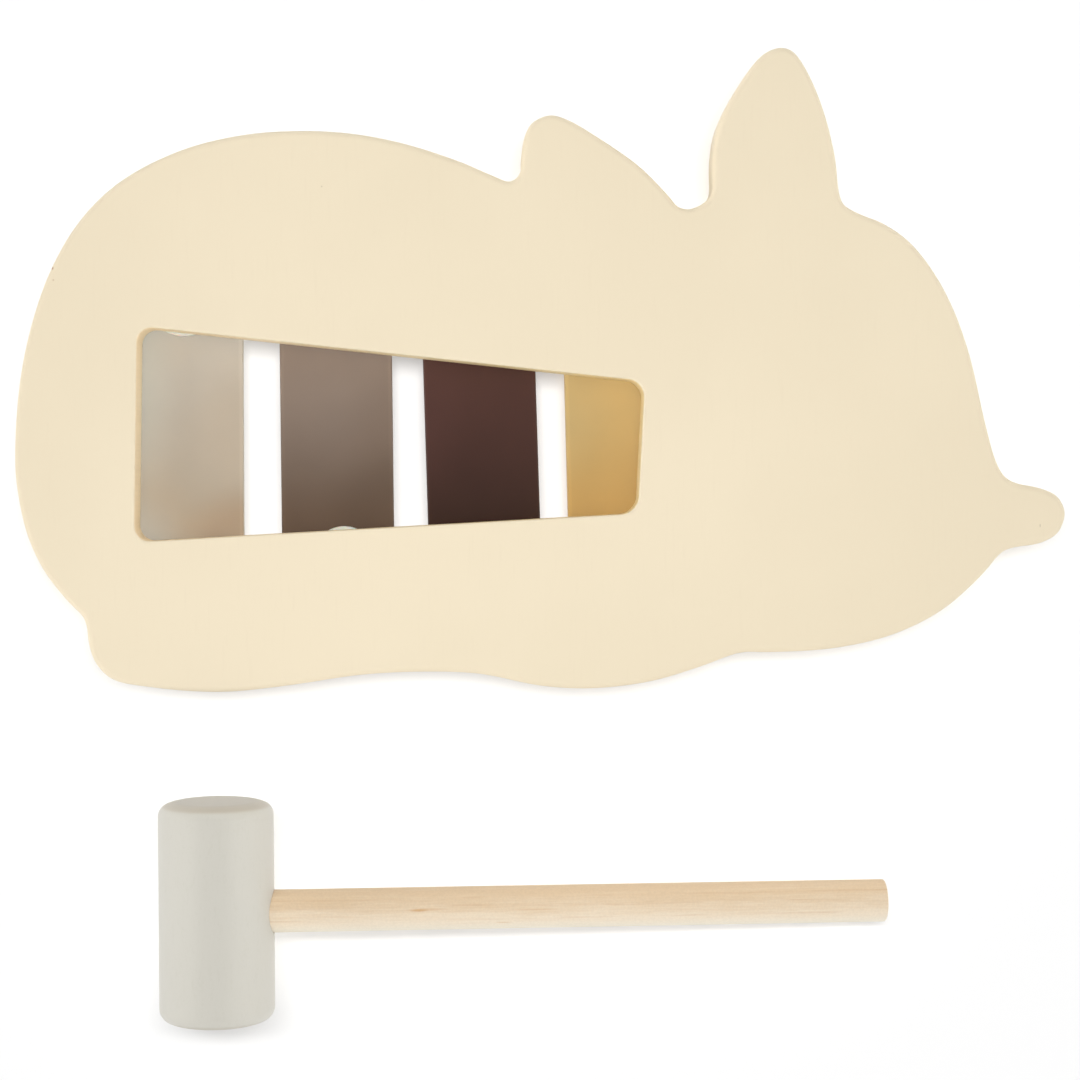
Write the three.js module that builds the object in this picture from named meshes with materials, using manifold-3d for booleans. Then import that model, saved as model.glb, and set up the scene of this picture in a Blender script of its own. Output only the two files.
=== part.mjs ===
// Toy xylophone: a painted wooden board in the outline of a lying animal carries four tuned metal
// bars on soft pads. It lies bars down, as left after play, with its mallet beside it.
// Millimetres. +X runs from the animal's rump to its nose, +Y from its belly to its ears, +Z up.

import * as THREE from 'three';
import { mergeVertices } from 'three/addons/utils/BufferGeometryUtils.js';
import Module from 'manifold-3d';

const wasm = await Module();
wasm.setup();

// Board
const BOARD_LENGTH = 290;
const BOARD_BREADTH = 178;
const BOARD_THICKNESS = 12;
const BOARD_EDGE_RADIUS = 1.6;

// Sound slot: its long edges run beside the two rows of screws
const SLOT_LENGTH = 139.6;
const SLOT_TO_SCREWS_WIDE_END = 8.85;
const SLOT_TO_SCREWS_NARROW_END = 9.65;
const SLOT_CORNER_RADIUS = 4.6;
const SLOT_EDGE_RADIUS = 0.6;
const SLOT_TURN_DEG = -1.5;
const SLOT_WIDE_END_LEAN_DEG = 0.8;
const SLOT_NARROW_END_LEAN_DEG = -1.5;
const SLOT_CENTRE_shares = [0.3558, 0.39];

// Tone bars: the longest is the keynote, the others follow from their pitch ratios. The four notes
// are the keynote, its minor third, fourth and minor seventh, out of one pentatonic scale.
const KEYNOTE_BAR_LENGTH = 130;
const BAR_WIDTH = 31.7;
const BAR_THICKNESS = 2.5;
const BAR_CORNER_RADIUS = 4;
const BAR_EDGE_RADIUS = 0.8;
const BAR_HOLE_CLEARANCE = 1;
const BAR_OUTSIDE_SLOT = 3.4;
const SCREW_HOLE_share = 0.21;
const TONE_BARS = [
  { pitchRatio: 1, gapAfter: 10.5, turnDeg: 0.3, colour: 0xc4baa7 },
  { pitchRatio: 1.189, gapAfter: 9.2, turnDeg: 0.7, colour: 0x8a7a6d },
  { pitchRatio: 1.335, gapAfter: 8, turnDeg: 1.8, colour: 0x52372f },
  { pitchRatio: 1.782, gapAfter: 0, turnDeg: 1.5, colour: 0xcfaa70 },
];

// Fixings of a bar: soft pad under it, clear washer over it, pan head screw through all
const PAD_DIAMETER = 18;
const PAD_THICKNESS = 3;
const PAD_EDGE_CHAMFER = 0.4;
const PAD_SLIP = 2.65;
const PAD_HOLE_CLEARANCE = 0.5;
// How each bar's upper and lower pad has slipped on its screw, along X and Y
const PAD_SLIP_shares = [
  [[-0.26, -0.26], [0.1, -0.2]],
  [[-0.1, 0.3], [0.68, 0.52]],
  [[0.15, 0.2], [-0.2, -0.1]],
  [[0.1, 0.2], [0.2, -0.2]],
];
const WASHER_DIAMETER = 9.5;
const WASHER_THICKNESS = 1;
const WASHER_HOLE_CLEARANCE = 0.3;
const SCREW_SHANK_DIAMETER = 3;
const SCREW_TIP_LENGTH = 3;
const SCREW_BITE = 8;
const SCREW_HEAD_DIAMETER = 7.4;
const SCREW_HEAD_HEIGHT = 2.4;
const SCREW_HEAD_RIM = 0.7;
const RECESS_SPAN = 3.8;
const RECESS_WIDTH = 0.9;
const RECESS_DEPTH = 1.3;
const PILOT_CLEARANCE = 0.3;

// Mallet
const MALLET_HEAD_DIAMETER = 32;
const MALLET_HEAD_LENGTH = 60.5;
const MALLET_HEAD_EDGE_RADIUS = 2.75;
const HANDLE_DIAMETER = 11.8;
const HANDLE_REACH = 171.5;
const HANDLE_END_CHAMFER = 0.4;
const SOCKET_DEPTH = 20;
const SOCKET_CLEARANCE = 0.3;
const MALLET_TO_BOARD_GAP = 31.2;
const MALLET_INSET = 55.3;
const MALLET_TURN_DEG = 0.45;

// How finely curves are stepped, and how far a cutter runs past the face it cuts
const OUTLINE_STEPS = 3;
const ROUND_STEPS = 2;
const CORNER_STEPS = 4;
const PAD_SIDES = 24;
const WASHER_SIDES = 16;
const SCREW_SIDES = 12;
const HANDLE_SIDES = 24;
const MALLET_HEAD_SIDES = 48;
const OVERRUN = 1;

// The animal's outline, stretch by stretch, as shares of the board's length and breadth
const BACK_shares = [
  [0, 0.360], [0.0036, 0.468], [0.0142, 0.561], [0.034, 0.655], [0.062, 0.732], [0.1, 0.792],
  [0.157, 0.840], [0.215, 0.864], [0.272, 0.871], [0.324, 0.866], [0.372, 0.8505], [0.424, 0.823],
  [0.457, 0.800],
];
const NAPE_NOTCH_shares = [[0.470, 0.7925], [0.4775, 0.7975], [0.4815, 0.8085]];
const LAID_BACK_EAR_shares = [
  [0.4823, 0.831], [0.4853, 0.861], [0.4925, 0.883], [0.509, 0.895], [0.525, 0.889], [0.558, 0.858],
  [0.596, 0.814], [0.622, 0.771], [0.632, 0.753],
];
const EAR_NOTCH_shares = [[0.643, 0.7497], [0.657, 0.7603], [0.6632, 0.774]];
const UPRIGHT_EAR_shares = [
  [0.664, 0.823], [0.668, 0.869], [0.681, 0.9185], [0.707, 0.981], [0.718, 0.9947], [0.73, 1],
  [0.741, 0.994], [0.754, 0.965], [0.77, 0.903], [0.781, 0.831], [0.7856, 0.771], [0.7903, 0.7555],
];
const FACE_shares = [
  [0.8055, 0.7415], [0.826, 0.728], [0.85, 0.7015], [0.874, 0.6545], [0.8945, 0.592],
  [0.9105, 0.516], [0.924, 0.419], [0.935, 0.356],
];
const NOSE_shares = [
  [0.9428, 0.335], [0.9525, 0.325], [0.977, 0.316], [0.993, 0.303], [1, 0.278], [0.9935, 0.2475],
  [0.977, 0.2315], [0.950, 0.2237], [0.940, 0.2165],
];
const JAW_shares = [
  [0.92, 0.180], [0.882, 0.126], [0.834, 0.088], [0.777, 0.0675], [0.7145, 0.0617],
  [0.6965, 0.062],
];
const BELLY_shares = [
  [0.684, 0.058], [0.653, 0.0395], [0.605, 0.0165], [0.548, 0.0056], [0.5, 0.010],
  [0.443, 0.028], [0.39, 0.0314], [0.329, 0.0264], [0.259, 0.0098],
];
const FOOT_shares = [
  [0.1955, 0], [0.128, 0.0076], [0.092, 0.0205], [0.0765, 0.046], [0.0705, 0.074],
  [0.0682, 0.1015], [0.0648, 0.116],
];
const RUMP_shares = [[0.0495, 0.142], [0.0275, 0.1885], [0.0115, 0.245], [0.0023, 0.3135]];
const OUTLINE_shares = [
  ...BACK_shares, ...NAPE_NOTCH_shares, ...LAID_BACK_EAR_shares, ...EAR_NOTCH_shares,
  ...UPRIGHT_EAR_shares, ...FACE_shares, ...NOSE_shares, ...JAW_shares, ...BELLY_shares,
  ...FOOT_shares, ...RUMP_shares,
];

// Heights of the stack, from the floor up
const WASHER_Z = SCREW_HEAD_HEIGHT;
const BAR_Z = WASHER_Z + WASHER_THICKNESS;
const PAD_Z = BAR_Z + BAR_THICKNESS;
const BOARD_Z = PAD_Z + PAD_THICKNESS;

const { degToRad } = THREE.MathUtils;

const paints = {
  cream: new THREE.MeshStandardMaterial({ color: 0xf2e4c7, roughness: 0.55 }),
  pad: new THREE.MeshStandardMaterial({ color: 0xdcdcd2, roughness: 0.4 }),
  washer: new THREE.MeshStandardMaterial({ color: 0xe6e6e0, roughness: 0.25 }),
  steel: new THREE.MeshStandardMaterial({ color: 0xb9bcc0, roughness: 0.3, metalness: 1 }),
  warmGrey: new THREE.MeshStandardMaterial({ color: 0xd1cfc4, roughness: 0.6 }),
  bareWood: new THREE.MeshStandardMaterial({ color: 0xe6cfb1, roughness: 0.7 }),
};

function namedMesh(name, geometry, material) {
  const mesh = new THREE.Mesh(geometry, material);
  mesh.name = name;
  return mesh;
}

function solidOf(geometry) {
  const bare = geometry.clone();
  bare.deleteAttribute('normal');
  bare.deleteAttribute('uv');
  const merged = mergeVertices(bare);
  return new wasm.Manifold(new wasm.Mesh({
    numProp: 3,
    vertProperties: new Float32Array(merged.attributes.position.array),
    triVerts: new Uint32Array(merged.index.array),
  }));
}

function geometryOf(solid) {
  const mesh = solid.getMesh();
  const geometry = new THREE.BufferGeometry();
  geometry.setAttribute('position', new THREE.BufferAttribute(mesh.vertProperties, 3));
  geometry.setIndex(new THREE.BufferAttribute(mesh.triVerts, 1));
  geometry.computeVertexNormals();
  return geometry;
}

function cutFrom(geometry, cutters) {
  const cut = cutters.reduce((solid, cutter) => solid.subtract(solidOf(cutter)), solidOf(geometry));
  return geometryOf(cut);
}

// A plate of the given outline between two heights, its rims rounded inwards
function roundedPlate(shape, bottom, thickness, rimRadius) {
  const geometry = new THREE.ExtrudeGeometry(shape, {
    depth: thickness - 2 * rimRadius,
    bevelThickness: rimRadius,
    bevelSize: rimRadius,
    bevelOffset: -rimRadius,
    bevelSegments: ROUND_STEPS,
    curveSegments: CORNER_STEPS,
  });
  return geometry.translate(0, 0, bottom + rimRadius);
}

function prism(shape, bottom, height) {
  const geometry = new THREE.ExtrudeGeometry(shape, {
    depth: height,
    bevelEnabled: false,
    curveSegments: CORNER_STEPS,
  });
  return geometry.translate(0, 0, bottom);
}

// A turned piece: the profile's points are [radius, height], and its axis is Z
function turned(profile, sides) {
  const points = profile.map(([radius, height]) => new THREE.Vector2(radius, height));
  return new THREE.LatheGeometry(points, sides).rotateX(Math.PI / 2);
}

function roundPost(radius, bottom, height, sides) {
  const post = new THREE.CylinderGeometry(radius, radius, height, sides);
  return post.rotateX(Math.PI / 2).translate(0, 0, bottom + height / 2);
}

// Points of a quarter round from one angle to the next, in degrees
function roundProfile(centreRadius, centreHeight, radius, fromDeg, toDeg, steps) {
  return Array.from({ length: steps + 1 }, (_, step) => {
    const angle = degToRad(fromDeg + (toDeg - fromDeg) * step / steps);
    return [centreRadius + radius * Math.cos(angle), centreHeight + radius * Math.sin(angle)];
  });
}

// Layout of the bars and of their fixings, seen from above

function barLength(bar) {
  return KEYNOTE_BAR_LENGTH / Math.sqrt(bar.pitchRatio);
}

function screwOffset(bar) {
  return barLength(bar) * (0.5 - SCREW_HOLE_share);
}

const slotCentre = new THREE.Vector2(
  SLOT_CENTRE_shares[0] * BOARD_LENGTH,
  SLOT_CENTRE_shares[1] * BOARD_BREADTH,
);

// A place along the slot's middle line, counted from its wide end
function onMiddleLine(along) {
  const fromCentre = new THREE.Vector2(along - SLOT_LENGTH / 2, 0);
  return fromCentre.rotateAround(new THREE.Vector2(), degToRad(SLOT_TURN_DEG)).add(slotCentre);
}

const barPlaces = [];
TONE_BARS.reduce((edge, bar) => {
  barPlaces.push(edge + BAR_WIDTH / 2);
  return edge + BAR_WIDTH + bar.gapAfter;
}, -BAR_OUTSIDE_SLOT);

function fixingPlace(index, side) {
  const bar = TONE_BARS[index];
  const offset = new THREE.Vector2(0, side * screwOffset(bar));
  return offset
    .rotateAround(new THREE.Vector2(), degToRad(bar.turnDeg))
    .add(onMiddleLine(barPlaces[index]));
}

// Half the distance between the two rows of screws, at a place along the slot
function screwRow(along) {
  const last = TONE_BARS.length - 1;
  const start = screwOffset(TONE_BARS[0]);
  const end = screwOffset(TONE_BARS[last]);
  const slope = (end - start) / (barPlaces[last] - barPlaces[0]);
  return start + slope * (along - barPlaces[0]);
}

// Board

function boardShape() {
  const anchors = OUTLINE_shares.map(([along, up]) =>
    new THREE.Vector3(along * BOARD_LENGTH, up * BOARD_BREADTH, 0));
  const curve = new THREE.CatmullRomCurve3(anchors, true, 'centripetal');
  const points = curve.getPoints(anchors.length * OUTLINE_STEPS).slice(0, -1);
  return new THREE.Shape(points.map((point) => new THREE.Vector2(point.x, point.y)));
}

function slotCorners() {
  const halfWide = screwRow(0) - SLOT_TO_SCREWS_WIDE_END;
  const halfNarrow = screwRow(SLOT_LENGTH) - SLOT_TO_SCREWS_NARROW_END;
  const wideLean = degToRad(SLOT_WIDE_END_LEAN_DEG);
  const narrowLean = degToRad(SLOT_NARROW_END_LEAN_DEG);
  const corners = [
    new THREE.Vector2(halfWide * Math.sin(wideLean), -halfWide),
    new THREE.Vector2(SLOT_LENGTH + halfNarrow * Math.sin(narrowLean), -halfNarrow),
    new THREE.Vector2(SLOT_LENGTH - halfNarrow * Math.sin(narrowLean), halfNarrow),
    new THREE.Vector2(-halfWide * Math.sin(wideLean), halfWide),
  ];
  return corners.map((corner) => corner
    .sub(new THREE.Vector2(SLOT_LENGTH / 2, 0))
    .rotateAround(new THREE.Vector2(), degToRad(SLOT_TURN_DEG))
    .add(slotCentre));
}

// The slot's outline, with rounded corners and grown outwards all round by the given amount
function slotShape(grow) {
  const corners = slotCorners();
  const shape = new THREE.Shape();
  corners.forEach((corner, index) => {
    const before = corners[(index + corners.length - 1) % corners.length];
    const after = corners[(index + 1) % corners.length];
    const inward = corner.clone().sub(before).normalize();
    const outward = after.clone().sub(corner).normalize();
    const half = Math.acos(inward.dot(outward)) / 2;
    const bisector = outward.clone().sub(inward).normalize();
    const centre = corner.clone().addScaledVector(bisector, SLOT_CORNER_RADIUS / Math.cos(half));
    const startAngle = Math.atan2(-inward.x, inward.y);
    shape.absarc(centre.x, centre.y, SLOT_CORNER_RADIUS + grow, startAngle, startAngle + 2 * half);
  });
  return shape;
}

function slotCutters() {
  const flared = new THREE.ExtrudeGeometry(slotShape(0), {
    depth: BOARD_THICKNESS - 2 * SLOT_EDGE_RADIUS,
    bevelThickness: SLOT_EDGE_RADIUS,
    bevelSize: -SLOT_EDGE_RADIUS,
    bevelOffset: SLOT_EDGE_RADIUS,
    bevelSegments: ROUND_STEPS,
    curveSegments: CORNER_STEPS,
  });
  flared.translate(0, 0, BOARD_Z + SLOT_EDGE_RADIUS);
  const mouth = slotShape(SLOT_EDGE_RADIUS);
  return [
    flared,
    prism(mouth, BOARD_Z - OVERRUN, OVERRUN),
    prism(mouth, BOARD_Z + BOARD_THICKNESS, OVERRUN),
  ];
}

function pilotCutter(place) {
  const radius = SCREW_SHANK_DIAMETER / 2 + PILOT_CLEARANCE;
  const depth = SCREW_BITE + PILOT_CLEARANCE;
  const hole = roundPost(radius, BOARD_Z - OVERRUN, depth + OVERRUN, SCREW_SIDES);
  return hole.translate(place.x, place.y, 0);
}

function makeBoard() {
  const blank = roundedPlate(boardShape(), BOARD_Z, BOARD_THICKNESS, BOARD_EDGE_RADIUS);
  const pilots = TONE_BARS.flatMap((_, index) =>
    [1, -1].map((side) => pilotCutter(fixingPlace(index, side))));
  return namedMesh('base_board', cutFrom(blank, [...slotCutters(), ...pilots]), paints.cream);
}

// Tone bars and their fixings, each built round its own axis

function barShape(bar) {
  const halfWidth = BAR_WIDTH / 2 - BAR_CORNER_RADIUS;
  const halfLength = barLength(bar) / 2 - BAR_CORNER_RADIUS;
  const shape = new THREE.Shape();
  shape.absarc(halfWidth, halfLength, BAR_CORNER_RADIUS, 0, Math.PI / 2);
  shape.absarc(-halfWidth, halfLength, BAR_CORNER_RADIUS, Math.PI / 2, Math.PI);
  shape.absarc(-halfWidth, -halfLength, BAR_CORNER_RADIUS, Math.PI, 3 * Math.PI / 2);
  shape.absarc(halfWidth, -halfLength, BAR_CORNER_RADIUS, 3 * Math.PI / 2, 2 * Math.PI);
  return shape;
}

function makeToneBar(bar, name) {
  const blank = roundedPlate(barShape(bar), BAR_Z, BAR_THICKNESS, BAR_EDGE_RADIUS);
  const radius = SCREW_SHANK_DIAMETER / 2 + BAR_HOLE_CLEARANCE;
  const holes = [1, -1].map((side) => {
    const hole = roundPost(radius, BAR_Z - OVERRUN, BAR_THICKNESS + 2 * OVERRUN, WASHER_SIDES);
    return hole.translate(0, side * screwOffset(bar), 0);
  });
  const paint = new THREE.MeshStandardMaterial({ color: bar.colour, roughness: 0.4 });
  return namedMesh(name, cutFrom(blank, holes), paint);
}

// The pad has slipped on its screw, as far as its wide hole lets it
function makePad(name, slipShares) {
  const outer = PAD_DIAMETER / 2;
  const inner = SCREW_SHANK_DIAMETER / 2 + PAD_SLIP + PAD_HOLE_CLEARANCE;
  const top = PAD_THICKNESS;
  const ring = turned([
    [inner, 0],
    [outer - PAD_EDGE_CHAMFER, 0],
    [outer, PAD_EDGE_CHAMFER],
    [outer, top - PAD_EDGE_CHAMFER],
    [outer - PAD_EDGE_CHAMFER, top],
    [inner, top],
    [inner, 0],
  ], PAD_SIDES);
  const [slipX, slipY] = slipShares.map((share) => share * PAD_SLIP);
  return namedMesh(name, ring.translate(slipX, slipY, PAD_Z), paints.pad);
}

function makeWasher(name) {
  const outer = WASHER_DIAMETER / 2;
  const inner = SCREW_SHANK_DIAMETER / 2 + WASHER_HOLE_CLEARANCE;
  const ring = turned([
    [inner, 0],
    [outer, 0],
    [outer, WASHER_THICKNESS],
    [inner, WASHER_THICKNESS],
    [inner, 0],
  ], WASHER_SIDES);
  return namedMesh(name, ring.translate(0, 0, WASHER_Z), paints.washer);
}

// A pan head screw, head down on the floor, with a cross recess in the head
function makeScrew(name) {
  const headRadius = SCREW_HEAD_DIAMETER / 2;
  const shankRadius = SCREW_SHANK_DIAMETER / 2;
  const domeHeight = SCREW_HEAD_HEIGHT - SCREW_HEAD_RIM;
  const dome = roundProfile(headRadius - domeHeight, domeHeight, domeHeight, -90, 0, ROUND_STEPS + 1);
  const tip = BOARD_Z + SCREW_BITE;
  const screw = turned([
    [0, 0],
    ...dome,
    [headRadius, SCREW_HEAD_HEIGHT],
    [shankRadius, SCREW_HEAD_HEIGHT],
    [shankRadius, tip - SCREW_TIP_LENGTH],
    [0, tip],
  ], SCREW_SIDES);
  const bladeHeight = RECESS_DEPTH + OVERRUN;
  const blades = [[RECESS_SPAN, RECESS_WIDTH], [RECESS_WIDTH, RECESS_SPAN]].map(([x, y]) =>
    new THREE.BoxGeometry(x, y, bladeHeight).translate(0, 0, RECESS_DEPTH - bladeHeight / 2));
  return namedMesh(name, cutFrom(screw, blades), paints.steel);
}

function makeBarSet(bar, index) {
  const name = `tone_bar_${index + 1}`;
  const place = onMiddleLine(barPlaces[index]);
  const set = new THREE.Group();
  set.position.set(place.x, place.y, 0);
  set.rotation.z = degToRad(bar.turnDeg);
  set.add(makeToneBar(bar, name));
  [['upper', 1], ['lower', -1]].forEach(([end, side], endIndex) => {
    const fixing = new THREE.Group();
    fixing.position.y = side * screwOffset(bar);
    fixing.add(makePad(`bar_${index + 1}_pad_${end}`, PAD_SLIP_shares[index][endIndex]));
    fixing.add(makeWasher(`bar_${index + 1}_washer_${end}`));
    fixing.add(makeScrew(`bar_${index + 1}_screw_${end}`));
    set.add(fixing);
  });
  return set;
}

// Mallet, built with the head's axis along Y and the handle along X, then laid on the floor

const headRadius = MALLET_HEAD_DIAMETER / 2;
const handleRadius = HANDLE_DIAMETER / 2;
const handleEnd = headRadius + HANDLE_REACH;

function makeMalletHead() {
  const half = MALLET_HEAD_LENGTH / 2;
  const rimRadius = headRadius - MALLET_HEAD_EDGE_RADIUS;
  const rimHeight = half - MALLET_HEAD_EDGE_RADIUS;
  const steps = 2 * ROUND_STEPS;
  const profile = [
    [0, -half],
    ...roundProfile(rimRadius, -rimHeight, MALLET_HEAD_EDGE_RADIUS, -90, 0, steps),
    ...roundProfile(rimRadius, rimHeight, MALLET_HEAD_EDGE_RADIUS, 0, 90, steps),
    [0, half],
  ];
  const head = turned(profile, MALLET_HEAD_SIDES).rotateX(-Math.PI / 2);
  const socketLength = SOCKET_DEPTH + SOCKET_CLEARANCE + OVERRUN;
  const socket = roundPost(handleRadius + SOCKET_CLEARANCE, 0, socketLength, HANDLE_SIDES)
    .rotateY(Math.PI / 2)
    .translate(headRadius + OVERRUN - socketLength, 0, 0);
  return namedMesh('mallet_head', cutFrom(head, [socket]), paints.warmGrey);
}

function makeMalletHandle() {
  const start = headRadius - SOCKET_DEPTH;
  const dowel = turned([
    [0, start],
    [handleRadius - HANDLE_END_CHAMFER, start],
    [handleRadius, start + HANDLE_END_CHAMFER],
    [handleRadius, handleEnd - HANDLE_END_CHAMFER],
    [handleRadius - HANDLE_END_CHAMFER, handleEnd],
    [0, handleEnd],
  ], HANDLE_SIDES);
  return namedMesh('mallet_handle', dowel.rotateY(Math.PI / 2), paints.bareWood);
}

// The head rests on its side, and the handle slopes down until its end touches the floor
function restSlope() {
  const reach = handleEnd - HANDLE_END_CHAMFER;
  return Math.asin(headRadius / Math.hypot(reach, handleRadius)) - Math.atan2(handleRadius, reach);
}

function makeMallet() {
  const mallet = new THREE.Group();
  mallet.add(makeMalletHead(), makeMalletHandle());
  mallet.rotation.set(0, restSlope(), degToRad(MALLET_TURN_DEG), 'ZYX');
  mallet.position.set(MALLET_INSET, -MALLET_TO_BOARD_GAP - MALLET_HEAD_LENGTH / 2, headRadius);
  return mallet;
}

const set = new THREE.Group();
set.add(makeBoard(), ...TONE_BARS.map(makeBarSet), makeMallet());

// The origin is the middle of the whole set's footprint, on the floor
const box = new THREE.Box3().setFromObject(set, true);
const middle = box.getCenter(new THREE.Vector3());
set.position.set(-middle.x, -middle.y, -box.min.z);

const toyXylophone = new THREE.Group();
toyXylophone.add(set);
toyXylophone.updateMatrixWorld(true);

export default toyXylophone;
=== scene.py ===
"""Toy xylophone: the looks of a cream wooden board with four painted tone bars and a mallet.

Lengths are in metres and tints are screen values from 0 to 255. The board lies bars down, as in
the photograph, which looks straight down on its back face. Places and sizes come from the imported
solids.
"""

import logging
import math
from collections.abc import Iterable, Sequence
from dataclasses import dataclass, field
from enum import Enum

import bmesh
import bpy
from bmesh.types import BMEdge, BMesh, BMFace, BMVert
from bpy.types import ID, Collection, Material, Mesh, Node, NodeTree, Object
from bpy.types import NodeSocket as Socket
from mathutils import Color, Matrix, Vector
from mathutils.geometry import intersect_line_line

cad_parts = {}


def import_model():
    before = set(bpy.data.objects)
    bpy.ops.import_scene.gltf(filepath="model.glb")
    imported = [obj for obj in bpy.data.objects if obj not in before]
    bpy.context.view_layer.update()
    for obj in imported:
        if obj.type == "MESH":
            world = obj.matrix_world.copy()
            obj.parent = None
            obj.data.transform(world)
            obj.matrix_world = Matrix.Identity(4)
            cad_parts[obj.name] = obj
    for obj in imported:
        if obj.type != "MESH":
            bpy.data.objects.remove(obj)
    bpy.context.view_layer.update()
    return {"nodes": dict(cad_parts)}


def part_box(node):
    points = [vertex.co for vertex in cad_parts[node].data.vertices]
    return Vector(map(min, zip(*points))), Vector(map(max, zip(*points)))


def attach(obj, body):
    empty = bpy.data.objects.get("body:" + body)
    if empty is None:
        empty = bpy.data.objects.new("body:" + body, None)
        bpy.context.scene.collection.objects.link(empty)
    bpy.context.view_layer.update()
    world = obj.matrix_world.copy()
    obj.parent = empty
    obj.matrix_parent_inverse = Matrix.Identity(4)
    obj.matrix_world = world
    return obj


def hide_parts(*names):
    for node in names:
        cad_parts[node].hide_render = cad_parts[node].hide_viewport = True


LOG = logging.getLogger("toy_xylophone")

MM = 0.001
MERGE_DISTANCE = 0.001 * MM
STRAIGHT = math.radians(0.03)
STEEP = math.radians(60)
SHARP = math.radians(32)
# The bars' attribute that marks where a painted highlight runs along their edges
EDGE_HIGHLIGHT = "painted_edge_highlight"
OVERRUN = 1.0 * MM
UP = Vector((0, 0, 1))

# Where most of a noise's values lie, and how many finer layers a detailed one has
NOISE_SPAN = (0.3, 0.7)
DETAILED = 3

# The Mix node's factor, first and second input and its result, for numbers and for colours
MIX_NUMBERS = (0, 2, 3)
MIXED_NUMBER = 0
MIX_COLOURS = (0, 6, 7)
MIXED_COLOUR = 2

Tint = tuple[float, float, float]
Rates = tuple[float, float, float]
Span = tuple[float, float]
Loop = Sequence[Vector]


class Body(Enum):
    """The bodies that pieces ride on."""

    INSTRUMENT = "instrument"
    MALLET = "mallet"


class Slot(Enum):
    """The record's material slots."""

    BOARD = "board_cream"
    BAR_GREY_BEIGE = "tone_bar_grey_beige"
    BAR_TAUPE = "tone_bar_taupe"
    BAR_DARK_BROWN = "tone_bar_dark_brown"
    BAR_MUSTARD = "tone_bar_mustard"
    PAD = "soft_pad"
    WASHER = "clear_washer"
    SCREW = "screw_steel"
    MALLET_HEAD = "mallet_head_grey"
    MALLET_HANDLE = "mallet_handle_wood"


class End(Enum):
    """The two ends of a tone bar."""

    UPPER = "upper"
    LOWER = "lower"


# Node graphs


def linear(tint: Tint) -> tuple[float, float, float, float]:
    """A screen tint as the linear, opaque colour that a colour socket takes."""
    red, green, blue = Color([value / 255 for value in tint]).from_srgb_to_scene_linear()
    return red, green, blue, 1.0


class Graph:
    """A node tree, with short calls for the nodes that the finishes share."""

    def __init__(self, tree: NodeTree) -> None:
        """Empties the tree of a material or a world to build in."""
        self.tree = tree
        self.tree.nodes.clear()

    def fill(self, node: Node, inputs: dict) -> None:
        """Links a node's inputs to other sockets, or sets their values.

        Args:
            node: The node.
            inputs: Input names or numbers, each with a socket, a value or a screen tint.
        """
        for key, value in inputs.items():
            socket = node.inputs[key]
            if isinstance(value, Socket):
                self.tree.links.new(value, socket)
            else:
                socket.default_value = linear(value) if socket.type == "RGBA" else value

    def node(self, kind: str, inputs: dict | None = None, **settings: object) -> Node:
        """Adds a node.

        Args:
            kind: The node's type name.
            inputs: What its inputs take.
            settings: The node's own properties.

        Returns:
            The new node.
        """
        made = self.tree.nodes.new(kind)
        for key, value in settings.items():
            setattr(made, key, value)
        self.fill(made, inputs or {})
        return made

    def result(self, kind: str, output: str | int, inputs: dict, **settings: object) -> Socket:
        """Adds a node and gives one of its outputs."""
        return self.node(kind, inputs, **settings).outputs[output]

    def axis(self, vector: Socket, name: str) -> Socket:
        """One coordinate of a vector, named X, Y or Z."""
        return self.result("ShaderNodeSeparateXYZ", name, {"Vector": vector})

    def vector(self, x: object, y: object) -> Socket:
        """A level vector from two values or sockets."""
        return self.result("ShaderNodeCombineXYZ", "Vector", {"X": x, "Y": y})

    def math(self, operation: str, *values: object) -> Socket:
        """One sum, product or other operation on values or sockets."""
        return self.result("ShaderNodeMath", "Value", dict(enumerate(values)), operation=operation)

    def noise(
        self, vector: Socket, scale: float = 1, detail: float = 2, roughness: float = 0.5
    ) -> Socket:
        """Noise from 0 to 1, with so many cells to a unit and so many finer layers."""
        inputs = {"Vector": vector, "Scale": scale, "Detail": detail, "Roughness": roughness}
        return self.result("ShaderNodeTexNoise", "Fac", inputs)

    def spread(
        self, value: Socket, low: float, high: float, start: float = 0, end: float = 1
    ) -> Socket:
        """Spreads the values from low to high smoothly over start to end, clamped."""
        inputs = {"Value": value, "From Min": low, "From Max": high, "To Min": start, "To Max": end}
        return self.result("ShaderNodeMapRange", "Result", inputs, interpolation_type="SMOOTHSTEP")

    def blend(self, factor: object, first: object, second: object, mode: str = "MIX") -> Socket:
        """Blends two tints or colour sockets, the second one by the factor."""
        inputs = dict(zip(MIX_COLOURS, (factor, first, second)))
        return self.result("ShaderNodeMix", MIXED_COLOUR, inputs, data_type="RGBA", blend_type=mode)

    def between(self, factor: object, start: object, end: object) -> Socket:
        """A number between two others, by a factor from 0 to 1."""
        inputs = dict(zip(MIX_NUMBERS, (factor, start, end)))
        return self.result("ShaderNodeMix", MIXED_NUMBER, inputs, data_type="FLOAT")

    def shaded(self, colour: object, shade: Socket) -> Socket:
        """A colour multiplied by a grey shade."""
        grey = self.result("ShaderNodeCombineColor", "Color", dict.fromkeys(range(3), shade))
        return self.blend(1.0, colour, grey, "MULTIPLY")

    def seen(self) -> Socket:
        """Tells the rays that see a surface's own tint from those that light it.

        Returns:
            1 for rays from the camera, from a glossy surface or through a clear one, else 0.
        """
        path = self.node("ShaderNodeLightPath").outputs
        mirrored = self.math("MAXIMUM", path["Is Camera Ray"], path["Is Glossy Ray"])
        return self.math("MAXIMUM", mirrored, path["Is Transmission Ray"])


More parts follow.
